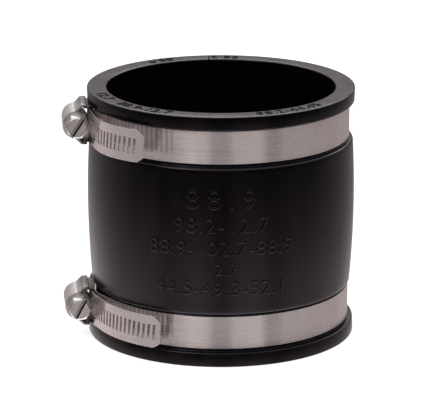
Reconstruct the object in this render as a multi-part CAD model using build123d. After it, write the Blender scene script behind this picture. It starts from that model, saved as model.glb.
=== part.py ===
"""Straight flexible coupling that joins the ends of two 88.9 mm pipes.

A moulded elastomer sleeve slips over both pipe ends, and a worm-drive clamp in a groove near each end squeezes it
tight. Each clamp is four pieces: a slotted steel band, a saddle, a housing and a worm screw.

The frame is the sleeve's own: Z is the bore's axis and the origin is halfway along it. A clamp is built round Z with
its screw beside +X and pointing along +Y, then turned to its angle and lifted to its groove. Its seat is the gently
curved stretch of band under the worm, with a centre of its own.
"""

import os
from math import acos, asin, atan, atan2, cos, degrees, pi, radians, sin, sqrt

from build123d import *

# Sleeve, in millimetres
pipe_diameter = 88.9
sleeve_length = 98.2
rim_wall = 7.65
rim_height = 5.4
rim_draft = 0.4
rim_edge_chamfer = 0.45
groove_wall = 4.85
barrel_wall = 6.9
barrel_bulge = 0.75
barrel_shoulder_chamfer = 0.6
bore_mouth_chamfer = 0.8

# Clearances that keep neighbouring pieces apart
hoop_gap = 0.1
sheet_gap = 0.1
side_gap = 0.1
groove_play = 0.8
rim_gap = 0.4
thread_gap = 0.15
neck_gap = 0.08
collar_gap = 0.15

# Band: one strip that is its own root end, hoop, seat and free tail
band_width = 12.7
band_thickness = 0.6
nominal_slot_pitch = 2.3
slot_length = 6.0
slot_share_of_pitch = 0.5
slots_behind_screw = 17
slot_margin_at_tip = 2.6
tip_chamfer_along = 3.0
tip_chamfer_across = 2.0
tip_corner_radius = 0.8
seat_radius = 80.0
strip_bend_radius = 12.0
root_lift = 0.95
root_overlap = 3.5

# How far the housing can creep along the seat from where it stands, in turns of the screw
turns_to_tighten = 2.25
turns_to_loosen = 1.0
seat_margin = 0.3

# Saddle and housing, pressed from sheet
saddle_sheet = 0.5
saddle_end_setback = 0.4
ear_height = 2.5
tab_length = 5.0
tab_drop = 0.55
housing_sheet = 0.7
housing_length = 15.6
shoulder_drop = 1.9
flare_radius = 0.9
flare_start_angle = 75.0
flare_lead = 1.0
lip_reach_below_screw = 2.4

# Worm screw
screw_station = 3.0
worm_radius = 4.6
thread_height = 1.0
thread_bite = 0.35
thread_crest_share = 0.22
thread_root_share = 0.6
thread_sink = 0.15
neck_radius = 3.0
collar_thickness = 1.3
hex_across_flats = 7.94
hex_height = 3.9
hex_chamfer = 0.5
driver_slot_width = 1.5
driver_slot_depth = 1.9
pilot_reach = 1.5
pilot_chamfer = 0.5

# Where each clamp stands, and how its free tail springs off the hoop
upper_clamp = {
    "side": 1,
    "angle": 184.0,
    "exit_angle": 9.6,
    "tail_run": 8.3,
    "curl_radius": 32.5,
    "tail_end": 59.0,
    "driver_slot_angle": 57.0,
}
lower_clamp = {
    "side": -1,
    "angle": 185.0,
    "exit_angle": 19.5,
    "tail_run": 6.5,
    "curl_radius": 47.0,
    "tail_end": 55.8,
    "driver_slot_angle": 62.0,
}

# Sleeve sizes that follow from the driving ones
bore_radius = pipe_diameter / 2
rim_radius = bore_radius + rim_wall
groove_radius = bore_radius + groove_wall
half_length = sleeve_length / 2
saddle_width = band_width + 2 * (side_gap + saddle_sheet)
groove_width = saddle_width + groove_play
groove_top = half_length - rim_height
groove_bottom = groove_top - groove_width
clamp_rise = groove_play / 2 - side_gap

# The screw's axis, the seat's centre, and the layers under the worm by their radii round that centre
hoop_middle = groove_radius + hoop_gap + band_thickness / 2
seat_outer = seat_radius + band_thickness / 2
seat_inner = seat_radius - band_thickness / 2
plate_outer = seat_inner - sheet_gap
plate_inner = plate_outer - saddle_sheet
root_radius = plate_inner - sheet_gap - band_thickness / 2
worm_distance = seat_outer - thread_bite + worm_radius
seat_centre = Vector(hoop_middle + root_lift - root_radius, screw_station)
screw_distance = seat_centre.X + worm_distance

# The worm meshes with the slots at the bite radius, so whole slots go round the seat's circle
bite_radius = seat_outer - thread_bite / 2
slots_per_circle = round(2 * pi * bite_radius / nominal_slot_pitch)
thread_pitch = 2 * pi * bite_radius / slots_per_circle
slot_pitch = 2 * pi * seat_radius / slots_per_circle
slot_width = slot_share_of_pitch * slot_pitch
slot_slant = degrees(atan(thread_pitch / (2 * pi * (worm_radius - thread_bite / 2))))
core_radius = worm_radius - thread_height

# Section of the housing: dome over the worm, and skirts that straddle the saddle's ears above the rim
dome_inner = worm_radius + thread_gap
dome_middle = dome_inner + housing_sheet / 2
skirt_middle = saddle_width / 2 + sheet_gap + housing_sheet / 2
skirt_end = rim_radius + rim_gap

# Stations along the screw, measured from the middle of the housing towards the head
housing_end = housing_length / 2
worm_end = housing_end - housing_sheet - sheet_gap
collar_start = housing_end + sheet_gap
hex_start = collar_start + collar_thickness
hex_end = hex_start + hex_height
collar_radius = worm_distance - collar_gap - sqrt(seat_outer**2 - collar_start**2)

# Angles round the seat's centre, measured from the middle of the housing
turn_angle = 360 / slots_per_circle
housing_half_angle = degrees(asin(housing_end / seat_inner))
seat_front = housing_half_angle + turns_to_loosen * turn_angle + seat_margin
seat_back = -housing_half_angle - turns_to_tighten * turn_angle - seat_margin
root_front = housing_half_angle
root_back = -degrees(asin((housing_end + root_overlap) / root_radius))


def outward(angle):
    """Unit vector away from Z at an angle in degrees."""
    return Vector(cos(radians(angle)), sin(radians(angle)))


def along(angle):
    """Unit vector round the hoop, anticlockwise, at an angle in degrees."""
    return Vector(-sin(radians(angle)), cos(radians(angle)))


def corners_near(sketch, radius, height):
    """Corners of a sleeve section at a radius and at plus or minus a height."""
    close = 1e-3
    return [v for v in sketch.vertices() if abs(v.X - radius) < close and abs(abs(v.Z) - height) < close]


def make_sleeve():
    """Moulded sleeve: square rims at both ends, a groove for each clamp, and a slightly swollen barrel between."""
    rim_inside = rim_radius - rim_draft
    barrel_radius = bore_radius + barrel_wall
    upper = [
        (barrel_radius, groove_bottom),
        (groove_radius, groove_bottom),
        (groove_radius, groove_top),
        (rim_inside, groove_top),
        (rim_radius, half_length),
        (bore_radius, half_length),
    ]
    lower = [(x, -z) for x, z in reversed(upper)]
    barrel = ThreePointArc(lower[-1], (barrel_radius + barrel_bulge, 0), upper[0])
    section = Plane.XZ * make_face([barrel, Polyline(*upper, *lower)])
    section = chamfer(corners_near(section, barrel_radius, groove_bottom), barrel_shoulder_chamfer)
    rim_corners = corners_near(section, rim_inside, groove_top) + corners_near(section, rim_radius, half_length)
    section = chamfer(rim_corners, rim_edge_chamfer)
    section = chamfer(corners_near(section, bore_radius, half_length), bore_mouth_chamfer)
    return revolve(section, Axis.Z)


def ramp_bend(radius, angle, side):
    """Centre of the bend at one end of an arc round the seat's centre, and the angle where its ramp meets the hoop."""
    centre = seat_centre + outward(angle) * (radius - strip_bend_radius)
    swing = degrees(acos((hoop_middle - strip_bend_radius) / centre.length))
    return centre, degrees(atan2(centre.Y, centre.X)) + side * swing


def strip_lead(shift):
    """Edges of the strip's path from its root to its seat, moved outwards from its middle surface by shift."""
    bend = strip_bend_radius + shift
    hoop = hoop_middle + shift
    root_bend, root_lands = ramp_bend(root_radius, root_front, 1)
    seat_bend, seat_lands = ramp_bend(seat_radius, seat_back, -1)
    return [
        CenterArc(seat_centre, root_radius + shift, root_back, root_front - root_back),
        CenterArc(root_bend, bend, root_front, root_lands - root_front),
        Line(root_bend + outward(root_lands) * bend, outward(root_lands) * hoop),
        CenterArc((0, 0), hoop, root_lands, 360 + seat_lands - root_lands),
        Line(outward(seat_lands) * hoop, seat_bend + outward(seat_lands) * bend),
        CenterArc(seat_bend, bend, seat_lands, seat_back - seat_lands),
    ]


def strip_end(clamp, shift):
    """Edges of the strip's path along its seat and its free tail, moved outwards likewise."""
    leave = clamp["exit_angle"]
    bend = strip_bend_radius + shift
    exit_bend = seat_centre + outward(seat_front) * (seat_radius - strip_bend_radius)
    run_start = exit_bend + outward(leave) * bend
    run_end = run_start + along(leave) * clamp["tail_run"]
    curl = clamp["curl_radius"] + shift
    return [
        CenterArc(seat_centre, seat_radius + shift, seat_back, seat_front - seat_back),
        CenterArc(exit_bend, bend, seat_front, leave - seat_front),
        Line(run_start, run_end),
        CenterArc(run_end - outward(leave) * curl, curl, leave, clamp["tail_end"] - leave),
    ]


def slot_cutters(clamp):
    """Boxes for the slanted slots, one pitch apart along the strip and in step with the worm at its middle."""
    lead = strip_lead(0)
    whole = Wire(lead + strip_end(clamp, 0))
    behind_screw = sum(edge.length for edge in lead) + radians(-seat_back) * seat_radius
    slots_ahead = int((whole.length - behind_screw - slot_margin_at_tip) / slot_pitch)
    slot = Rot(0, slot_slant, 0) * Box(slot_width, 3 * band_thickness, slot_length)
    cutters = []
    for step in range(-slots_behind_screw, slots_ahead + 1):
        station = behind_screw + step * slot_pitch
        place = Plane(
            origin=whole.position_at(station, PositionMode.LENGTH),
            x_dir=whole.tangent_at(station, PositionMode.LENGTH),
            z_dir=(0, 0, 1),
        )
        cutters.append(place * slot)
    return cutters


def clip_tip(band, tip):
    """The strip with the corners of its free end cut off and then rounded."""
    half = band_width / 2
    for side in (1, -1):
        clip = Polyline(
            (1, side * (half - tip_chamfer_across)),
            (0, side * (half - tip_chamfer_across)),
            (-tip_chamfer_along, side * half),
            (-tip_chamfer_along, side * (half + 1)),
            (1, side * (half + 1)),
            close=True,
        )
        band -= extrude(tip * make_face(clip), amount=2 * band_thickness, both=True)
    reach = sqrt(half**2 + tip_chamfer_along**2) + band_thickness
    corners = [
        edge
        for edge in band.edges().filter_by(GeomType.LINE)
        if abs(edge.length - band_thickness) < band_thickness / 10 and (edge @ 0.5 - tip.origin).length < reach
    ]
    return fillet(corners, tip_corner_radius)


def make_band(clamp):
    """Slotted strip: root end under the saddle, once round the groove, over the saddle, and out as a clipped tail."""
    half = band_thickness / 2
    inner = strip_lead(-half) + strip_end(clamp, -half)
    outer = strip_lead(half) + strip_end(clamp, half)
    root_cap = Line(inner[0] @ 0, outer[0] @ 0)
    tip_cap = Line(inner[-1] @ 1, outer[-1] @ 1)
    band = extrude(make_face([*inner, *outer, root_cap, tip_cap]), amount=band_width / 2, both=True)
    tail = strip_end(clamp, 0)[-1]
    tip = Plane(origin=tail @ 1, x_dir=tail % 1, z_dir=outward(clamp["tail_end"]))
    return clip_tip(band, tip) - slot_cutters(clamp)


def tabs(reach, gap):
    """Blocks that stand out sideways from the saddle's ears through the housing's skirts, grown by a gap."""
    start = saddle_width / 2 - saddle_sheet / 2
    height = seat_centre.X + plate_outer + ear_height - tab_drop
    tab = Box(saddle_sheet + 2 * gap, tab_length + 2 * gap, reach - start)
    return [Pos(height, screw_station, side * (start + reach) / 2) * tab for side in (1, -1)]


def make_saddle():
    """Trough between the two layers of band: a plate curved like the seat, and ears with a tab each for the housing."""
    ear = saddle_width / 2 - saddle_sheet / 2
    plate = plate_inner + saddle_sheet / 2
    ear_end = plate_outer + ear_height
    middle = Polyline((ear_end, -ear), (plate, -ear), (plate, ear), (ear_end, ear))
    section = make_face(middle.offset_2d(saddle_sheet / 2, kind=Kind.INTERSECTION, side=Side.BOTH))
    half_angle = degrees(asin((housing_end - saddle_end_setback) / plate_outer))
    trough = Rot(0, 0, -half_angle) * revolve(Plane.XZ * section, Axis.Z, 2 * half_angle)
    return Pos(*seat_centre) * trough + tabs(saddle_width / 2 + sheet_gap + housing_sheet, 0)


def cap_line():
    """Middle line of the housing's section: a skirt and a flare on each side of the dome over the worm."""
    reach = dome_middle * cos(radians(flare_start_angle))
    side = dome_middle * sin(radians(flare_start_angle))
    start = Vector(screw_distance + reach, side)
    lead = start + Vector(-side, reach) * (flare_lead / dome_middle)
    shoulder = (screw_distance - shoulder_drop, skirt_middle)
    end = (skirt_end + housing_sheet / 2, skirt_middle)
    flare = FilletPolyline(start, lead, shoulder, end, radius=flare_radius)
    dome = CenterArc((screw_distance, 0), dome_middle, -flare_start_angle, 2 * flare_start_angle)
    return flare + dome + mirror(flare, Plane.XZ)


def make_housing():
    """Pressed cap: a dome that flares out to skirts outside the saddle's ears, and a notched lip at each end."""
    across = Plane.XZ.offset(-housing_end)
    cap = make_face(cap_line().offset_2d(housing_sheet / 2, kind=Kind.INTERSECTION, side=Side.BOTH))
    above_lip_edge = Pos(screw_distance - lip_reach_below_screw, 0) * Rectangle(
        2 * screw_distance, 2 * dome_middle, align=(Align.MIN, Align.CENTER)
    )
    notch_radius = neck_radius + neck_gap
    notch = Circle(notch_radius) + Rectangle(dome_middle, 2 * notch_radius, align=(Align.MAX, Align.CENTER))
    lip_face = Pos(screw_distance, 0) * (Circle(dome_middle) - notch) & above_lip_edge
    front_lip = extrude(across * lip_face, amount=housing_sheet)
    back_lip = Pos(0, housing_sheet - housing_length, 0) * front_lip
    housing = extrude(across * cap, amount=housing_length) + front_lip + back_lip
    return Pos(0, screw_station, 0) * housing - tabs(skirt_middle + housing_sheet, sheet_gap / 2)


def make_thread():
    """Right-hand trapezoidal thread round Z with sloping ends, one crest passing through -X at height 0."""
    height = 2 * (int(worm_end / thread_pitch) + 1) * thread_pitch
    flank = (thread_root_share - thread_crest_share) * thread_pitch / 2 / thread_height
    crest = thread_crest_share * thread_pitch / 2
    sunk = core_radius - thread_sink
    root = crest + flank * (worm_radius - sunk)
    tooth = Plane.XZ * make_face(
        Polyline((sunk, -root), (worm_radius, -crest), (worm_radius, crest), (sunk, root), close=True)
    )
    bottom = Pos(0, 0, -height / 2)
    thread = sweep(bottom * tooth, path=bottom * Helix(thread_pitch, height, worm_radius), is_frenet=True)
    # The trimming solid's cones stay clear of the core's ends and of the crest's edge.
    deep = core_radius - 2 * thread_sink
    wide = 2 * worm_radius
    deep_end = worm_end - thread_sink
    wide_end = deep_end - (wide - deep)
    trim = Polyline(
        (0, -deep_end), (deep, -deep_end), (wide, -wide_end), (wide, wide_end), (deep, deep_end), (0, deep_end),
        close=True,
    )
    return Rot(0, 0, 180) * (thread & revolve(Plane.XZ * make_face(trim), Axis.Z))


def make_shank():
    """Pilot, threaded core, neck and collar, turned round Z."""
    pilot_end = -housing_end - pilot_reach
    outline = Polyline(
        (0, pilot_end),
        (neck_radius - pilot_chamfer, pilot_end),
        (neck_radius, pilot_end + pilot_chamfer),
        (neck_radius, -worm_end),
        (core_radius, -worm_end),
        (core_radius, worm_end),
        (neck_radius, worm_end),
        (neck_radius, collar_start),
        (collar_radius, collar_start),
        (collar_radius, hex_start),
        (0, hex_start),
        close=True,
    )
    return revolve(Plane.XZ * make_face(outline), Axis.Z) + make_thread()


def make_head():
    """Hexagon head with its corners turned off at the face, and a driver slot across it."""
    corner = hex_across_flats / sqrt(3)
    head = Pos(0, 0, hex_start) * extrude(RegularPolygon(corner, 6), amount=hex_height)
    dressing = Polyline(
        (0, 0), (corner, 0), (corner, hex_end - hex_chamfer), (corner - 2 * hex_chamfer, hex_end), (0, hex_end),
        close=True,
    )
    head &= revolve(Plane.XZ * make_face(dressing), Axis.Z)
    return head - Pos(0, 0, hex_end) * Box(2 * corner, driver_slot_width, 2 * driver_slot_depth)


def make_screw(clamp):
    """Worm screw built up Z, then laid along +Y at its place."""
    # Seen from the head, turning the slot by this much stands it at its angle above the hoop's inward direction.
    head = Rot(0, 0, clamp["driver_slot_angle"]) * make_head()
    return Pos(screw_distance, screw_station, 0) * Rot(-90, 0, 0) * (make_shank() + head)


def placed(shape, clamp):
    """A clamp piece turned to the clamp's angle and lifted into its groove."""
    groove_middle = clamp["side"] * (groove_top + groove_bottom) / 2
    return Pos(0, 0, groove_middle + clamp_rise) * Rot(0, 0, clamp["angle"]) * shape


def main():
    os.makedirs("parts", exist_ok=True)
    nodes = {"sleeve": make_sleeve()}
    for name, clamp in (("upper", upper_clamp), ("lower", lower_clamp)):
        nodes[f"{name}_band"] = placed(make_band(clamp), clamp)
        nodes[f"{name}_saddle"] = placed(make_saddle(), clamp)
        nodes[f"{name}_housing"] = placed(make_housing(), clamp)
        nodes[f"{name}_screw"] = placed(make_screw(clamp), clamp)
    for node, shape in nodes.items():
        export_step(shape, f"parts/{node}.step")
    print("slots per circle", slots_per_circle, "thread pitch", round(thread_pitch, 4))
    print("seat centre", round(seat_centre.X, 3), seat_centre.Y, "collar radius", round(collar_radius, 3))


main()
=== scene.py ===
"""Looks of a flexible pipe coupling: a black elastomer sleeve with two stainless worm-drive clamps.

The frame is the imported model's: Z is the bore's axis and the origin is halfway along it. Blender works in
metres; the sizes named below are millimetres unless they say otherwise.
"""

from math import acos, atan2, cos, degrees, pi, radians, sin, tau

import bmesh
import bpy
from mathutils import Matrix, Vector


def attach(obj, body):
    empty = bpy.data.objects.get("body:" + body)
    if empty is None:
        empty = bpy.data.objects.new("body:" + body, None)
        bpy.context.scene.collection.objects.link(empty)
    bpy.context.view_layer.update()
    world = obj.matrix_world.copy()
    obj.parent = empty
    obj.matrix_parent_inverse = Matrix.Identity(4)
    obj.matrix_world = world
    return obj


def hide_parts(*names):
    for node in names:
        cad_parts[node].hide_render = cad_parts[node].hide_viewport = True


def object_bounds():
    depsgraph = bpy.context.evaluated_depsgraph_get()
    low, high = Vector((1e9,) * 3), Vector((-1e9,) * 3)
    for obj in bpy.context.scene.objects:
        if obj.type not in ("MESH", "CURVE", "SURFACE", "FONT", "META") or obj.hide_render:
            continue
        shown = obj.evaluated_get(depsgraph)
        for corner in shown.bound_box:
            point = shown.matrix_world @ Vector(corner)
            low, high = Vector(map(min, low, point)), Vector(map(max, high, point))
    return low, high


MM = 0.001

# The photograph's frame and the camera that fits it
IMAGE_WIDTH_PX = 424
FOCAL_PX = 3168.0
SENSOR_WIDTH = 36.0
CAMERA_DISTANCE = 1243.3
CAMERA_ELEVATION = 15.776
AIM_SHIFT_RIGHT = 3.48
AIM_SHIFT_UP = 1.24
CLIP_METRES = (0.05, 20.0)

# Sleeve, with the moulding's small roundings that the solid leaves out
BORE_RADIUS = 44.45
RIM_RADIUS = 52.1
RIM_DRAFT = 0.2
RIM_HEIGHT = 5.4
RIM_ROUND = 0.4
MOUTH_ROUND = 0.6
GROOVE_RADIUS = 49.3
GROOVE_WIDTH = 14.7
GROOVE_ROUND = 0.35
WIDEST_RADIUS = 52.1
WIDEST_HEIGHT = 6.0
BARREL_CURVE = 0.0013
SHOULDER_ROUND = 1.2
HALF_LENGTH = 49.1
TURN_STEPS = 288
BARREL_STEPS = 16
CORNER_STEPS = 5

# Raised plain numbers: the part's own sizes in millimetres.
# On the barrel: text, height of its digits, height of its middle on the barrel, and letter spacing
BARREL_NUMBERS = (
    ("88.9", 7.6, 16.6, 1.5),
    ("98.2-12.7", 5.8, 6.6, 1.15),
    ("88.9-102.7-88.9", 5.6, -2.4, 1.1),
    ("12.7", 4.6, -10.6, 1.1),
    ("44.5-49.3-52.1", 5.6, -18.4, 1.1),
)
BARREL_RELIEF = 0.34
BARREL_DIGIT_BEVEL = 0.26
WRAP_RADIUS = 51.35
# On the upper rim: text and its bearing in degrees from the front, positive to the right
RIM_NUMBERS = (
    ("88.9-12.7", -38.0), ("98.2-44.45", 33.0), ("88.9", -150.0), ("98.2", 178.0), ("12.7", -68.0),
)
RIM_DIGIT = 4.3
RIM_RELIEF = 0.15
RIM_DIGIT_BEVEL = 0.05
RIM_SPACING = 1.1
DIGIT_SHARE_OF_FONT = 0.7
DIGIT_FACET = 1.2

# Rubber: stops of its colours higher up and lower down, where it is lighter, and of its roughness, the
# heights between which the lighter tone sets in, and its shine where it is smooth and where it is dull: the
# rim's digits and seam, and in part the rim's side
RUBBER_UPPER = ((0.3, (0.0009, 0.0006, 0.001)), (0.7, (0.0024, 0.0017, 0.0025)))
RUBBER_LOWER = ((0.35, (0.004, 0.0032, 0.004)), (0.75, (0.009, 0.0076, 0.0088)))
RUBBER_TINT = (0.95, 0.82, 1.0, 1.0)
RUBBER_ROUGHNESS = ((0.3, 0.22), (0.7, 0.3))
LOWER_FADE = (12.0, -30.0)
RUBBER_SHINE = 0.38
DULL_SHINE = 0.02
RIM_SIDE_TOP = 48.5
RIM_SIDE_DULLNESS = 0.6
GRAIN_STRENGTH = 0.015

# Noise of the finishes: scale per metre, detail and roughness; smears and blooms are drawn out along the bore
BLOOM = (60, 4, 0.6)
BLOOM_STRETCH = 0.5
SMEAR = (140, 3, 0.55)
SMEAR_STRETCH = 0.12
GRAIN = (2600, 2)
STEEL_CLOUDS = (110, 3)
STREAKS = (1.0, 4, 0.62)

# The seam of the mould, at the back of the bore and across the rim
SEAM_X = -4.7
SEAM_HALF_WIDTH = 0.35
SEAM_DEPTH = 0.4
SEAM_ON_RIM = 1.2

# Steel finishes: dark and light colour, roughness, streaks per metre along x, y and z, and their strength
BRUSHED = ((0.67, 0.61, 0.605), (0.73, 0.675, 0.665), 0.28, (30, 30, 5200), 0.06)
# The strip's underside and its slots' walls: darkened steel as painted shade.
UNDERSIDE_SHADE_FINISH = ((0.2, 0.185, 0.18), (0.3, 0.28, 0.275), 0.4, (30, 30, 5200), 0.08)
TURNED = ((0.86, 0.81, 0.8), (0.95, 0.9, 0.89), 0.42, (700, 700, 700), 0.15)
TUMBLED = ((0.76, 0.73, 0.725), (0.87, 0.84, 0.835), 0.4, (900, 900, 900), 0.12)
ROUGHNESS_SWING = 0.05
FINISH_DEPTH = 0.03
QUARTER_TURN = 0.25

# Pressings: painted shade down beside the strip, the radii between which it darkens them, and its colour
# there
CORNER_SHADE = (57.5, 53.5)
CORNER_SHADE_COLOUR = (0.1, 0.09, 0.088)

# Screw: its axis's distance from the bore's, where its hex face starts along it, and the painted shade on
# that face, dark lines at the driver slot's edges, with fainter lines further out: distance from the slot's
# middle as a share of the reach, and how bright the steel is there
SCREW_DISTANCE = 56.5
HEX_START = 14.0
MARKS_REACH = 5.0
HEX_SLOT_SHADE_AND_LINES = (
    (0.09, 1.0), (0.13, 0.1), (0.17, 0.1), (0.2, 1.0),
    (0.3, 0.95), (0.33, 0.45), (0.36, 0.95),
    (0.5, 0.9), (0.53, 0.4), (0.56, 0.9),
    (0.72, 0.9), (0.75, 0.5), (0.78, 0.9),
)

# Painted reflection of the tail's slots: dim stripes in the hoop's colour beside the tails. How many would go
# round, the softness of their edges, the shade between them, the bearings in radians where they start and
# fade, the heights over the strip's middle where they fade, the steel's colour in them, and the radius that
# only the tail goes beyond
STRIPES_ROUND = 145
STRIPE_EDGE = 0.5
BETWEEN_STRIPES = 0.2
STRIPES_START = -1.2
STRIPES_FADE = (-0.32, -0.4)
STRIPES_LOW = (-4.5, -1.5)
SLOT_REFLECTION_COLOUR = (0.45, 0.405, 0.4)
HOOP_OUTER = 50.2

# Steel strip of a clamp: its section, its slots, and its path over the seat under the screw
BAND_HALF_WIDTH = 6.35
BAND_HALF_THICKNESS = 0.3
HOOP_MIDDLE = 49.7
SLOT_PITCH = 2.2943
SLOT_HALF_WIDTH = 0.57
SLOT_HALF_LENGTH = 3.0
SLOT_LEAN = 0.25
SLOTS_BEHIND_SCREW = 17
SLOT_TO_TIP = 2.0
TIP_CLIP_ALONG = 3.0
TIP_CLIP_ACROSS = 2.2
TIP_COLUMNS = 3
SEAT_RADIUS = 80.0
SEAT_CENTRE = (-28.05, 3.0)
SEAT_FRONT = 7.546
SEAT_BACK = -9.6
ROOT_RADIUS = 78.7
ROOT_FRONT = 5.613
ROOT_BACK = -8.253
STRIP_BEND_RADIUS = 12.0
HOOP_STEP = 1.6

# Each clamp: its angle from +X and its strip's middle height; the angle at which the tail leaves the seat,
# its straight run, the radius of its curl and the angle at its tip; and how far the driver slot is turned
CLAMPS = {
    "upper": {
        "angle": 184.0, "z": 36.65,
        "leave": 9.6, "run": 8.3, "curl": 32.5, "end": 63.6,
        "driver_slot": 57.0,
    },
    "lower": {
        "angle": 185.0, "z": -36.05,
        "leave": 19.5, "run": 6.5, "curl": 47.0, "end": 60.7,
        "driver_slot": 62.0,
    },
}

# Softened edges: sheet and strip, pressed dome and screw, and the angle from which an edge is sharp
SHEET_EDGE = 0.06
THICK_EDGE = 0.12
SHARP_ANGLE = 35

# What the steel and the rubber see round them, by bearing in degrees from the front, positive to the right: a
# bright table below, and the dark far side of the studio above it. Then the sines of elevation between which
# one gives way to the next, from the table close to the object up to the bright ceiling
STUDIO_TABLE = (
    (-180, 1.5), (-150, 1.7), (-128, 1.4), (-108, 1.15), (-90, 1.1),
    (-60, 0.95), (-50, 0.68), (-36, 0.66), (-27, 1.1), (-13, 1.1),
    (-8, 0.38), (7, 0.38), (12, 0.95), (38, 1.15), (43, 0.42), (55, 0.42), (60, 0.84),
    (116, 0.86), (130, 0.72), (140, 0.9), (160, 1.0), (180, 1.4),
)
STUDIO_FAR_SIDE = (
    (-180, 0.4), (-120, 0.34), (-90, 0.14), (-60, 0.03),
    (60, 0.03), (90, 0.12), (120, 0.26), (180, 0.4),
)
STUDIO_TOP = 0.95
STUDIO_TINT = (1.0, 0.9, 0.885)
NEAR_TABLE_EDGE = (-0.85, -0.55)
TABLE_EDGE = (-0.42, -0.22)
CEILING_EDGE = (0.3, 0.7)
BRIGHTEST = 2.0
WHITE = (1.0, 1.0, 1.0)

# The paper that the object stands on, and the soft panels over it: place and size in metres, power in watts
PAPER_HALF_WIDTH = 3000.0
PAPER_GREY = (0.42, 0.42, 0.42, 1.0)
PAPER_GLOW = 0.82
LAMPS = {
    "key": ((-0.7, -0.9, 1.1), (0.5, 0.5), 3),
    "back": ((0.2, 1.0, 0.9), (1.0, 0.6), 8),
}

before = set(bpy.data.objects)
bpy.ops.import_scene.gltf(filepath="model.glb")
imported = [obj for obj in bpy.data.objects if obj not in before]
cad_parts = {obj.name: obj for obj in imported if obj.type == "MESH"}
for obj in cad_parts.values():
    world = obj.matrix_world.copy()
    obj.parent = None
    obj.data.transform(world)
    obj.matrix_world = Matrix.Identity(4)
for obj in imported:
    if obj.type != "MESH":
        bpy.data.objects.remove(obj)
cad_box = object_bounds()


def link(obj):
    """Puts a new object in the scene."""
    bpy.context.scene.collection.objects.link(obj)
    return obj


class Nodes:
    """A material's or a world's node tree, with short calls for the nodes that the recipes below share."""

    def __init__(self, tree, coordinates):
        self.tree = tree
        self.place = self.new("ShaderNodeTexCoord").outputs[coordinates]

    def new(self, kind, **settings):
        """Adds a node."""
        node = self.tree.nodes.new(kind)
        for key, value in settings.items():
            setattr(node, key, value)
        return node

    def join(self, out, into):
        """Links an output to an input."""
        self.tree.links.new(out, into)

    def feed(self, socket, value):
        """Links an input to an output, or sets it to a number."""
        if isinstance(value, (int, float)):
            socket.default_value = value
        else:
            self.join(value, socket)

    def math(self, operation, *values):
        """The result of one operation on numbers or outputs."""
        node = self.new("ShaderNodeMath", operation=operation)
        for socket, value in zip(node.inputs, values):
            self.feed(socket, value)
        return node.outputs["Value"]

    def axes(self):
        """The coordinates' x, y and z by themselves."""
        node = self.new("ShaderNodeSeparateXYZ")
        self.join(self.place, node.inputs["Vector"])
        return node.outputs["X"], node.outputs["Y"], node.outputs["Z"]

    def weighted(self, x, x_weight, y, y_weight):
        """The sum of two values, each times its weight."""
        return self.math("ADD", self.math("MULTIPLY", x, x_weight), self.math("MULTIPLY", y, y_weight))

    def radius(self, x, y):
        """Distance from the bore's axis."""
        return self.math("SQRT", self.weighted(x, x, y, y))

    def bearing(self, x, y):
        """Angle round the Z axis in radians: 0 in front, positive to the right."""
        return self.math("ARCTAN2", x, self.math("MULTIPLY", y, -1.0))

    def spread(self, value, low, high, low_out=0.0, high_out=1.0):
        """Maps a value smoothly from one range to another."""
        node = self.new("ShaderNodeMapRange", interpolation_type="SMOOTHSTEP")
        self.feed(node.inputs["Value"], value)
        limits = {"From Min": low, "From Max": high, "To Min": low_out, "To Max": high_out}
        for name, number in limits.items():
            node.inputs[name].default_value = number
        return node.outputs["Result"]

    def scaled(self, x, y, z):
        """Coordinates multiplied by a scale on each axis."""
        node = self.new("ShaderNodeMapping")
        node.inputs["Scale"].default_value = (x, y, z)
        self.join(self.place, node.inputs["Vector"])
        return node.outputs["Vector"]

    def noise(self, vector, scale, detail=3.0, roughness=0.5):
        """Cloudy noise from 0 to 1."""
        node = self.new("ShaderNodeTexNoise")
        node.inputs["Scale"].default_value = scale
        node.inputs["Detail"].default_value = detail
        node.inputs["Roughness"].default_value = roughness
        self.join(vector, node.inputs["Vector"])
        return node.outputs["Fac"]

    def ramp(self, value, *stops):
        """A colour ramp from (position, colour or grey level) pairs."""
        node = self.new("ShaderNodeValToRGB")
        elements = node.color_ramp.elements
        while len(elements) < len(stops):
            elements.new(0.5)
        for element, (at, colour) in zip(elements, stops):
            rgb = (colour,) * 3 if isinstance(colour, (int, float)) else colour
            element.position = at
            element.color = (*rgb, 1.0)
        self.join(value, node.inputs["Fac"])
        return node.outputs["Color"]

    def mix(self, factor, a, b, blend="MIX"):
        """Colour a where the factor is 0, and b, or what the blend makes of both, where it is 1."""
        node = self.new("ShaderNodeMix", data_type="RGBA", blend_type=blend)
        self.feed(node.inputs["Factor"], factor)
        for name, value in (("A", a), ("B", b)):
            socket = [s for s in node.inputs if s.name == name and s.type == "RGBA"][0]
            if isinstance(value, tuple):
                socket.default_value = (*value, 1.0)
            else:
                self.join(value, socket)
        return [s for s in node.outputs if s.type == "RGBA"][0]

    def bump(self, height, strength, distance, under=None):
        """A normal that follows a height, over another normal if one is given."""
        node = self.new("ShaderNodeBump")
        node.inputs["Strength"].default_value = strength
        node.inputs["Distance"].default_value = distance
        self.join(height, node.inputs["Height"])
        if under is not None:
            self.join(under, node.inputs["Normal"])
        return node.outputs["Normal"]


def new_material(name):
    """A material with its node helper and its Principled shader."""
    material = bpy.data.materials.new(name)
    material.use_nodes = True
    return material, Nodes(material.node_tree, "Object"), material.node_tree.nodes["Principled BSDF"]


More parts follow.
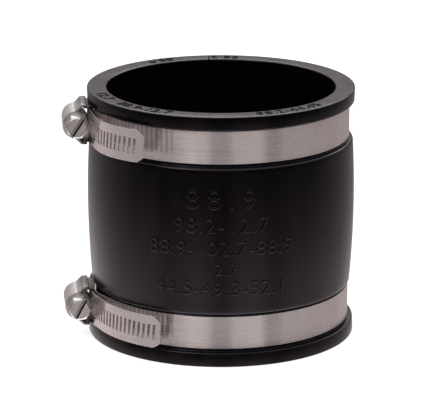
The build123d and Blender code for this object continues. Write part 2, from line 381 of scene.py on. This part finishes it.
def rubber_material():
    """Black moulded elastomer: grain, cloudy bloom, uneven gloss, lighter towards the bottom, and the mould's
    seam.
    """
    material, n, shader = new_material("moulded_rubber")
    x, y, z = n.axes()
    bloom = n.noise(n.scaled(1, 1, BLOOM_STRETCH), *BLOOM)
    smear = n.noise(n.scaled(1, 1, SMEAR_STRETCH), *SMEAR)
    upper_tone, lower_tone = n.ramp(bloom, *RUBBER_UPPER), n.ramp(smear, *RUBBER_LOWER)
    # Lighter towards the bottom of the sleeve.
    low = n.spread(z, LOWER_FADE[0] * MM, LOWER_FADE[1] * MM)
    n.join(n.mix(low, upper_tone, lower_tone), shader.inputs["Base Color"])
    n.join(n.ramp(smear, *RUBBER_ROUGHNESS), shader.inputs["Roughness"])
    shader.inputs["Specular Tint"].default_value = RUBBER_TINT

    from_seam = n.math("ABSOLUTE", n.math("SUBTRACT", x, SEAM_X * MM))
    beside_seam = n.spread(from_seam, 0, SEAM_HALF_WIDTH * MM)
    seam = n.math("MULTIPLY", n.math("SUBTRACT", 1.0, beside_seam), n.math("GREATER_THAN", y, 0.0))
    fine = n.bump(n.noise(n.place, *GRAIN), GRAIN_STRENGTH, FINISH_DEPTH * MM)
    n.join(n.bump(seam, 1.0, SEAM_DEPTH * MM, fine), shader.inputs["Normal"])

    digits = n.math("GREATER_THAN", z, (HALF_LENGTH - RIM_RELIEF / 2) * MM)
    rim_seam = n.math("MULTIPLY", seam, n.math("GREATER_THAN", z, (HALF_LENGTH - SEAM_ON_RIM) * MM))
    over_groove = n.math("GREATER_THAN", z, (HALF_LENGTH - RIM_HEIGHT) * MM)
    rim_side = n.math("MULTIPLY", over_groove, n.math("LESS_THAN", z, RIM_SIDE_TOP * MM))
    half_dull = n.math("MULTIPLY", rim_side, RIM_SIDE_DULLNESS)
    dull = n.math("MAXIMUM", n.math("MAXIMUM", digits, rim_seam), half_dull)
    n.join(n.ramp(dull, (0.0, RUBBER_SHINE), (1.0, DULL_SHINE)), shader.inputs["Specular IOR Level"])
    return material


def steel_material(name, finish, anisotropy=0.0):
    """Stainless steel: fine streaks over a slow variation, with its highlights more or less drawn out."""
    dark, light, rough, streaks, strength = finish
    material, n, shader = new_material(name)
    shader.inputs["Metallic"].default_value = 1.0
    cloud = n.noise(n.place, *STEEL_CLOUDS)
    brush = n.noise(n.scaled(*streaks), *STREAKS)
    matte = n.ramp(brush, (0.3, rough - ROUGHNESS_SWING), (0.7, rough + ROUGHNESS_SWING))
    n.join(n.ramp(cloud, (0.3, dark), (0.7, light)), shader.inputs["Base Color"])
    n.join(matte, shader.inputs["Roughness"])
    n.join(n.bump(brush, strength, FINISH_DEPTH * MM), shader.inputs["Normal"])
    if anisotropy:
        # The brushing runs round the hoop, so highlights stretch across it, up and down the strip.
        tangent = n.new("ShaderNodeTangent", direction_type="RADIAL", axis="Z")
        n.join(tangent.outputs["Tangent"], shader.inputs["Tangent"])
        shader.inputs["Anisotropic"].default_value = anisotropy
        shader.inputs["Anisotropic Rotation"].default_value = QUARTER_TURN
    return material


def finished(material):
    """A steel material's node helper, the colour it has so far, and the socket that takes the new colour."""
    base = material.node_tree.nodes["Principled BSDF"].inputs["Base Color"]
    return Nodes(material.node_tree, "Object"), base.links[0].from_socket, base


def strip_material(side, clamp):
    """Brushed strip, with dim stripes of painted reflection on the hoop where the polished steel would mirror
    the tail's slots.
    """
    material = steel_material(side + "_brushed_strip", BRUSHED, anisotropy=1.0)
    n, plain, base = finished(material)
    x, y, z = n.axes()
    bearing = n.bearing(x, y)
    waves = n.math("SINE", n.math("MULTIPLY", bearing, STRIPES_ROUND))
    reflected_slot_stripes = n.spread(waves, -STRIPE_EDGE, STRIPE_EDGE, BETWEEN_STRIPES, 1.0)
    started = n.math("GREATER_THAN", bearing, STRIPES_START)
    beside_tail = n.math("MULTIPLY", n.spread(bearing, *STRIPES_FADE), started)
    high = n.spread(z, (clamp["z"] + STRIPES_LOW[0]) * MM, (clamp["z"] + STRIPES_LOW[1]) * MM)
    on_hoop = n.math("MULTIPLY", high, n.math("LESS_THAN", n.radius(x, y), HOOP_OUTER * MM))
    # Painted reflection: the hoop's colour darkens in stripes where it would mirror the tail's slots.
    painted_reflection = n.math("MULTIPLY", reflected_slot_stripes, n.math("MULTIPLY", beside_tail, on_hoop))
    n.join(n.mix(painted_reflection, plain, SLOT_REFLECTION_COLOUR), base)
    return material


def screw_material(side, clamp):
    """Turned steel whose hex face has dark lines of painted shade beside the driver slot and fainter dark
    lines along it.
    """
    material = steel_material(side + "_turned_steel", TURNED)
    n, plain, base = finished(material)
    x, y, z = n.axes()
    turn, slope = radians(clamp["angle"]), radians(clamp["driver_slot"])
    out_reach = n.weighted(x, cos(turn), y, sin(turn))
    station = n.weighted(x, -sin(turn), y, cos(turn))
    across = n.math("SUBTRACT", SCREW_DISTANCE * MM, out_reach)
    up = n.math("SUBTRACT", z, clamp["z"] * MM)
    beside = n.math("ABSOLUTE", n.weighted(up, cos(slope), across, -sin(slope)))
    # Painted shade: dark lines at the driver slot's edges, fainter lines further out.
    slot_shade_and_lines = n.ramp(n.math("DIVIDE", beside, MARKS_REACH * MM), *HEX_SLOT_SHADE_AND_LINES)
    on_head = n.math("GREATER_THAN", station, HEX_START * MM)
    n.join(n.mix(1.0, plain, n.mix(on_head, WHITE, slot_shade_and_lines), blend="MULTIPLY"), base)
    return material


def pressed_material():
    """Tumbled sheet steel with painted shade darkening it down in the corners beside the strip."""
    material = steel_material("tumbled_sheet", TUMBLED)
    n, plain, base = finished(material)
    x, y, _ = n.axes()
    # Painted shade: darker towards the bore's axis, down beside the strip.
    low = n.spread(n.radius(x, y), CORNER_SHADE[0] * MM, CORNER_SHADE[1] * MM)
    n.join(n.mix(low, plain, CORNER_SHADE_COLOUR), base)
    return material


def floor_material():
    """Paper that is white to the camera apart from the shadow on it, and that no reflection shows."""
    material, n, shader = new_material("paper")
    tree = material.node_tree
    tree.nodes.remove(shader)
    matte = n.new("ShaderNodeBsdfDiffuse")
    matte.inputs["Color"].default_value = PAPER_GREY
    glow = n.new("ShaderNodeEmission")
    clear = n.new("ShaderNodeBsdfTransparent")
    rays = n.new("ShaderNodeLightPath")
    n.join(n.math("MULTIPLY", rays.outputs["Is Camera Ray"], PAPER_GLOW), glow.inputs["Strength"])
    lit = n.new("ShaderNodeAddShader")
    n.join(matte.outputs["BSDF"], lit.inputs[0])
    n.join(glow.outputs["Emission"], lit.inputs[1])
    seen = n.new("ShaderNodeMixShader")
    n.join(rays.outputs["Is Glossy Ray"], seen.inputs["Fac"])
    n.join(lit.outputs["Shader"], seen.inputs[1])
    n.join(clear.outputs["BSDF"], seen.inputs[2])
    n.join(seen.outputs["Shader"], tree.nodes["Material Output"].inputs["Surface"])
    return material


def studio_ring(n, turn, levels):
    """A ramp round the compass. It holds levels up to one, and the world's strength makes up for the rest."""
    stops = []
    for bearing, level in levels:
        stops.append(((bearing + 180) / 360, [level / BRIGHTEST * part for part in STUDIO_TINT]))
    return n.ramp(turn, *stops)


def make_world():
    """White to the camera; to everything else a studio ring of soft panels with a bright ceiling."""
    world = bpy.data.worlds.new("world")
    world.use_nodes = True
    bpy.context.scene.world = world
    n = Nodes(world.node_tree, "Generated")
    x, y, z = n.axes()
    turn = n.math("ADD", n.math("DIVIDE", n.bearing(x, y), tau), 0.5)
    table, far_side = studio_ring(n, turn, STUDIO_TABLE), studio_ring(n, turn, STUDIO_FAR_SIDE)
    sides = n.mix(n.spread(z, *TABLE_EDGE), table, far_side)
    below = n.mix(n.spread(z, *NEAR_TABLE_EDGE), WHITE, sides)
    room = n.mix(n.spread(z, *CEILING_EDGE), below, (STUDIO_TOP / BRIGHTEST,) * 3)
    camera = n.new("ShaderNodeLightPath").outputs["Is Camera Ray"]
    unseen = n.math("SUBTRACT", 1.0, camera)
    background = world.node_tree.nodes["Background"]
    n.join(n.mix(camera, room, WHITE), background.inputs["Color"])
    n.join(n.math("MULTIPLY_ADD", unseen, BRIGHTEST, camera), background.inputs["Strength"])


def rounded(corners):
    """Points of a closed outline whose corners, given as (x, z, radius), are rounded by arcs."""
    points = []
    for i, (x, z, radius) in enumerate(corners):
        here = Vector((x, z))
        if not radius:
            points.append(here)
            continue
        back = (Vector(corners[i - 1][:2]) - here).normalized()
        ahead = (Vector(corners[(i + 1) % len(corners)][:2]) - here).normalized()
        half = back.angle(ahead) / 2
        middle = here + (back + ahead).normalized() * (radius / sin(half))
        start = here + back * (radius * cos(half) / sin(half)) - middle
        sweep = back.angle_signed(ahead)
        sweep = (pi - abs(sweep)) * (1 if sweep > 0 else -1)
        for k in range(CORNER_STEPS + 1):
            a = sweep * k / CORNER_STEPS
            spoke = (start.x * cos(a) - start.y * sin(a), start.x * sin(a) + start.y * cos(a))
            points.append(middle + Vector(spoke))
    return points


def barrel_radius(z):
    """The swollen barrel's radius at a height."""
    return WIDEST_RADIUS - BARREL_CURVE * (z - WIDEST_HEIGHT) ** 2


def sleeve_end(side, face):
    """Corners of one end from the barrel's shoulder to the bore; side is 1 above and -1 below."""
    groove_outer = side * (HALF_LENGTH - RIM_HEIGHT)
    groove_inner = groove_outer - side * GROOVE_WIDTH
    return [
        (barrel_radius(groove_inner), groove_inner, SHOULDER_ROUND),
        (GROOVE_RADIUS, groove_inner, GROOVE_ROUND),
        (GROOVE_RADIUS, groove_outer, GROOVE_ROUND),
        (RIM_RADIUS - RIM_DRAFT, groove_outer, RIM_ROUND),
        (RIM_RADIUS, face, RIM_ROUND),
        (BORE_RADIUS, face, MOUTH_ROUND),
    ]


def sleeve_outline():
    """The sleeve's section from the bore's bottom edge outwards and up, with room on top for the relief."""
    upper = sleeve_end(1, HALF_LENGTH - RIM_RELIEF)
    lower = sleeve_end(-1, -HALF_LENGTH)[::-1]
    reach = upper[0][1] - 2 * SHOULDER_ROUND
    heights = [reach * (2 * k / BARREL_STEPS - 1) for k in range(BARREL_STEPS + 1)]
    return rounded(lower + [(barrel_radius(z), z, 0) for z in heights] + upper)


def turned(mesh, outline):
    """Adds the solid of revolution of an outline to a bmesh."""
    rings = []
    for k in range(TURN_STEPS):
        a = tau * k / TURN_STEPS
        rings.append([mesh.verts.new(Vector((p.x * cos(a), p.x * sin(a), p.y)) * MM) for p in outline])
    count = len(outline)
    for k, ring in enumerate(rings):
        after = rings[(k + 1) % TURN_STEPS]
        for i in range(count):
            j = (i + 1) % count
            mesh.faces.new((ring[i], after[i], after[j], ring[j])).smooth = True


def text_mesh(text, height, depth, bevel, spacing):
    """A mesh of raised text in its own plane, centred, in metres."""
    curve = bpy.data.curves.new("numbers", "FONT")
    curve.body = text
    curve.align_x, curve.align_y = "CENTER", "CENTER"
    curve.size = height / DIGIT_SHARE_OF_FONT * MM
    curve.space_character = spacing
    curve.extrude = (depth - bevel) * MM
    curve.bevel_depth = bevel * MM
    curve.bevel_resolution = 1
    curve.offset = -bevel / 2 * MM
    holder = link(bpy.data.objects.new("numbers", curve))
    bpy.context.view_layer.update()
    made = bpy.data.meshes.new_from_object(holder)
    bpy.data.objects.remove(holder)
    return made


def add_wrapped(mesh, source, place):
    """Adds a mesh to a bmesh with every vertex moved by a function of its coordinates."""
    piece = bmesh.new()
    piece.from_mesh(source)
    for _ in range(2):
        long_edges = [e for e in piece.edges if e.calc_length() > DIGIT_FACET * MM]
        bmesh.ops.subdivide_edges(piece, edges=long_edges, cuts=1)
    twins = {v: mesh.verts.new(place(v.co)) for v in piece.verts}
    for face in piece.faces:
        mesh.faces.new([twins[v] for v in face.verts])
    piece.free()


def around(radius, angle, z):
    """A point in metres at a radius and a height, at an angle in radians from the front."""
    return Vector((radius * sin(angle), -radius * cos(angle), z)) * MM


def on_barrel(level):
    """The function that wraps a number's points round the barrel at a height."""
    def place(p):
        z = p.y / MM + level
        return around(barrel_radius(z) + p.z / MM, p.x / MM / WRAP_RADIUS, z)
    return place


def on_rim(bearing):
    """The function that bends a number's points along the upper rim at a bearing."""
    middle = (BORE_RADIUS + RIM_RADIUS) / 2

    def place(p):
        angle = radians(bearing) + p.x / MM / middle
        return around(middle - p.y / MM, angle, HALF_LENGTH - RIM_RELIEF + p.z / MM)
    return place


def make_sleeve(material):
    """The moulded sleeve with its small roundings and raised numbers, in place of the plain solid."""
    mesh = bmesh.new()
    turned(mesh, sleeve_outline())
    for text, height, level, spacing in BARREL_NUMBERS:
        raised = text_mesh(text, height, BARREL_RELIEF, BARREL_DIGIT_BEVEL, spacing)
        add_wrapped(mesh, raised, on_barrel(level))
    for text, bearing in RIM_NUMBERS:
        raised = text_mesh(text, RIM_DIGIT, RIM_RELIEF, RIM_DIGIT_BEVEL, RIM_SPACING)
        add_wrapped(mesh, raised, on_rim(bearing))
    data = bpy.data.meshes.new("moulded_sleeve")
    mesh.to_mesh(data)
    mesh.free()
    sleeve = link(bpy.data.objects.new("moulded_sleeve", data))
    data.materials.append(material)
    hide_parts("sleeve")
    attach(sleeve, "sleeve")


def polar(angle, radius=1.0):
    """A vector in the clamp's plane at an angle in degrees."""
    return Vector((cos(radians(angle)), sin(radians(angle)))) * radius


def ramp_bend(radius, angle, side):
    """Centre of the bend at one end of an arc over the saddle, and the angle where its ramp lands."""
    centre = Vector(SEAT_CENTRE) + polar(angle, radius - STRIP_BEND_RADIUS)
    swing = degrees(acos((HOOP_MIDDLE - STRIP_BEND_RADIUS) / centre.length))
    return centre, degrees(atan2(centre.y, centre.x)) + side * swing


def arc(centre, radius, start, end):
    """A bent stretch of the strip's path, between two angles round its centre."""
    length = radians(end - start) * radius
    return {"length": length, "centre": Vector(centre), "radius": radius, "start": start, "end": end}


def run(start, end, angle):
    """A straight stretch of the strip's path, whose outward side faces at an angle."""
    return {"length": (end - start).length, "from": start, "to": end, "start": angle, "end": angle}


def strip_stretches(clamp):
    """The strip's path from its root round the hoop, over the seat and along the free tail.

    With it comes the length of the path up to the spot under the screw.
    """
    bend = STRIP_BEND_RADIUS
    root_bend, root_lands = ramp_bend(ROOT_RADIUS, ROOT_FRONT, 1)
    seat_bend, seat_lands = ramp_bend(SEAT_RADIUS, SEAT_BACK, -1)
    leave = clamp["leave"]
    exit_bend = Vector(SEAT_CENTRE) + polar(SEAT_FRONT, SEAT_RADIUS - bend)
    run_start = exit_bend + polar(leave, bend)
    run_end = run_start + polar(leave + 90, clamp["run"])
    lead = [
        arc(SEAT_CENTRE, ROOT_RADIUS, ROOT_BACK, ROOT_FRONT),
        arc(root_bend, bend, ROOT_FRONT, root_lands),
        run(root_bend + polar(root_lands, bend), polar(root_lands, HOOP_MIDDLE), root_lands),
        arc((0, 0), HOOP_MIDDLE, root_lands, 360 + seat_lands),
        run(polar(seat_lands, HOOP_MIDDLE), seat_bend + polar(seat_lands, bend), seat_lands),
        arc(seat_bend, bend, seat_lands, SEAT_BACK),
    ]
    tail = [
        arc(SEAT_CENTRE, SEAT_RADIUS, SEAT_BACK, SEAT_FRONT),
        arc(exit_bend, bend, SEAT_FRONT, leave),
        run(run_start, run_end, leave),
        arc(run_end - polar(leave, clamp["curl"]), clamp["curl"], leave, clamp["end"]),
    ]
    under_screw = sum(part["length"] for part in lead) + radians(-SEAT_BACK) * SEAT_RADIUS
    return lead + tail, under_screw


def strip_point(stretches, station, lift):
    """The point of the clamp's plane at a length along the strip, moved outwards by a lift."""
    for part in stretches:
        if station <= part["length"] or part is stretches[-1]:
            break
        station -= part["length"]
    share = station / part["length"]
    angle = part["start"] + (part["end"] - part["start"]) * share
    if "centre" in part:
        return part["centre"] + polar(angle, part["radius"] + lift)
    return part["from"].lerp(part["to"], share) + polar(angle, lift)


def strip_columns(whole, under_screw):
    """Stations of the strip's mesh with, for each, whether a slot fills the column that follows it."""
    ahead = int((whole - SLOT_TO_TIP - under_screw) / SLOT_PITCH)
    first = under_screw - (SLOTS_BEHIND_SCREW + 0.5) * SLOT_PITCH
    plain = int(first / HOOP_STEP)
    columns = [(first * k / plain, False) for k in range(plain)]
    for step in range(-SLOTS_BEHIND_SCREW, ahead + 1):
        middle = under_screw + step * SLOT_PITCH
        columns.append((middle - SLOT_PITCH / 2, False))
        columns.append((middle - SLOT_HALF_WIDTH, True))
        columns.append((middle + SLOT_HALF_WIDTH, False))
    after = under_screw + (ahead + 0.5) * SLOT_PITCH
    columns += [(after + (whole - after) * k / TIP_COLUMNS, False) for k in range(TIP_COLUMNS + 1)]
    return columns


def strip_grid(mesh, clamp, lift):
    """Vertices of one skin of the strip, four across at each station, and its columns."""
    stretches, under_screw = strip_stretches(clamp)
    whole = sum(part["length"] for part in stretches)
    columns = strip_columns(whole, under_screw)
    slots_start = under_screw - (SLOTS_BEHIND_SCREW + 1) * SLOT_PITCH
    turn = radians(clamp["angle"])
    grid = []
    for station, _ in columns:
        clipped = max(0.0, station - (whole - TIP_CLIP_ALONG)) / TIP_CLIP_ALONG * TIP_CLIP_ACROSS
        edge = BAND_HALF_WIDTH - clipped
        lean = SLOT_LEAN if slots_start < station < whole - SLOT_TO_TIP / 2 else 0.0
        line = []
        spots = ((-edge, 0), (-SLOT_HALF_LENGTH, -lean), (SLOT_HALF_LENGTH, lean), (edge, 0))
        for across, shift in spots:
            p = strip_point(stretches, station + shift, lift)
            x, y = p.x * cos(turn) - p.y * sin(turn), p.x * sin(turn) + p.y * cos(turn)
            line.append(mesh.verts.new(Vector((x, y, clamp["z"] + across)) * MM))
        grid.append(line)
    return grid, columns


def join_skins(mesh, outer, inner, columns):
    """Faces of the strip's two skins, and walls along its edges and its slots.

    The outer skin and its edges take the first material, the inner skin and the slots' walls the second,
    whose dark steel is painted shade.
    """
    slot_row = 1
    rows = len(outer[0]) - 1
    cells = ((i, j) for i in range(len(columns) - 1) for j in range(rows))
    filled = {(i, j) for i, j in cells if not (columns[i][1] and j == slot_row)}
    for i, j in filled:
        for grid, order in ((outer, 1), (inner, -1)):
            corners = (grid[i][j], grid[i + 1][j], grid[i + 1][j + 1], grid[i][j + 1])
            mesh.faces.new(corners[::order]).material_index = 0 if grid is outer else 1
        sides = (((i, j - 1), (i, j), (i + 1, j)), ((i + 1, j), (i + 1, j), (i + 1, j + 1)),
                 ((i, j + 1), (i + 1, j + 1), (i, j + 1)), ((i - 1, j), (i, j + 1), (i, j)))
        for beyond, (a, b), (c, d) in sides:
            if beyond not in filled:
                wall = mesh.faces.new((outer[a][b], inner[a][b], inner[c][d], outer[c][d]))
                wall.material_index = 1 if slot_row in (j, beyond[1]) else 0


def make_strip(side, clamp, material, underside_shade):
    """One clamp's slotted strip with its whole tail, in place of the plain solid."""
    mesh = bmesh.new()
    outer, columns = strip_grid(mesh, clamp, BAND_HALF_THICKNESS)
    inner, _ = strip_grid(mesh, clamp, -BAND_HALF_THICKNESS)
    join_skins(mesh, outer, inner, columns)
    bmesh.ops.recalc_face_normals(mesh, faces=mesh.faces)
    for face in mesh.faces:
        face.smooth = True
    for edge in mesh.edges:
        edge.smooth = edge.calc_face_angle(pi) < radians(SHARP_ANGLE)
    data = bpy.data.meshes.new(side + "_slotted_strip")
    mesh.to_mesh(data)
    mesh.free()
    strip = link(bpy.data.objects.new(side + "_slotted_strip", data))
    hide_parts(side + "_band")
    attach(strip, side + "_clamp")
    dress(strip, material, SHEET_EDGE)
    data.materials.append(underside_shade)


def dress(obj, material, edge_width):
    """Gives an object one material all over, and softens its sharp edges."""
    obj.data.materials.clear()
    obj.data.materials.append(material)
    bevel = obj.modifiers.new("soft_edges", "BEVEL")
    bevel.width = edge_width * MM
    bevel.segments = 2
    bevel.limit_method = "ANGLE"
    bevel.angle_limit = radians(SHARP_ANGLE)
    bevel.harden_normals = True


def make_camera():
    """The camera that took the photograph, as its rims' ellipses place it."""
    data = bpy.data.cameras.new("camera")
    data.sensor_fit = "HORIZONTAL"
    data.sensor_width = SENSOR_WIDTH
    data.lens = FOCAL_PX / IMAGE_WIDTH_PX * SENSOR_WIDTH
    data.clip_start, data.clip_end = CLIP_METRES
    camera = link(bpy.data.objects.new("camera", data))
    e = radians(CAMERA_ELEVATION)
    forward = Vector((0, cos(e), -sin(e)))
    up = Vector((0, sin(e), cos(e)))
    right = Vector((1, 0, 0))
    camera.location = (-forward * CAMERA_DISTANCE - right * AIM_SHIFT_RIGHT - up * AIM_SHIFT_UP) * MM
    camera.rotation_euler = (pi / 2 - e, 0, 0)
    bpy.context.scene.camera = camera


def make_floor(height):
    """The paper under the object."""
    mesh = bpy.data.meshes.new("floor")
    half = PAPER_HALF_WIDTH * MM
    corners = [(-half, -half, height), (half, -half, height), (half, half, height), (-half, half, height)]
    mesh.from_pydata(corners, [], [(0, 1, 2, 3)])
    mesh.materials.append(floor_material())
    link(bpy.data.objects.new("floor", mesh))


def make_lamp(name, place, size, power):
    """A soft panel that faces the object."""
    data = bpy.data.lights.new(name, "AREA")
    data.shape = "RECTANGLE"
    data.size, data.size_y = size
    data.energy = power
    lamp = link(bpy.data.objects.new(name, data))
    lamp.location = place
    lamp.rotation_euler = (-Vector(place)).to_track_quat("-Z", "Y").to_euler()


def main():
    """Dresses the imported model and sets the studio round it."""
    bpy.context.scene.view_settings.view_transform = "Standard"
    make_sleeve(rubber_material())
    # Dark steel as painted shade on the strip's underside and in its slots.
    underside_shade = steel_material("strip_underside_shade", UNDERSIDE_SHADE_FINISH)
    pressed = pressed_material()
    for side, clamp in CLAMPS.items():
        make_strip(side, clamp, strip_material(side, clamp), underside_shade)
        dress(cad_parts[side + "_saddle"], pressed, SHEET_EDGE)
        dress(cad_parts[side + "_housing"], pressed, THICK_EDGE)
        dress(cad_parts[side + "_screw"], screw_material(side, clamp), THICK_EDGE)
    make_floor(cad_box[0].z)
    make_world()
    for name, (place, size, power) in LAMPS.items():
        make_lamp(name, place, size, power)
    make_camera()


main()
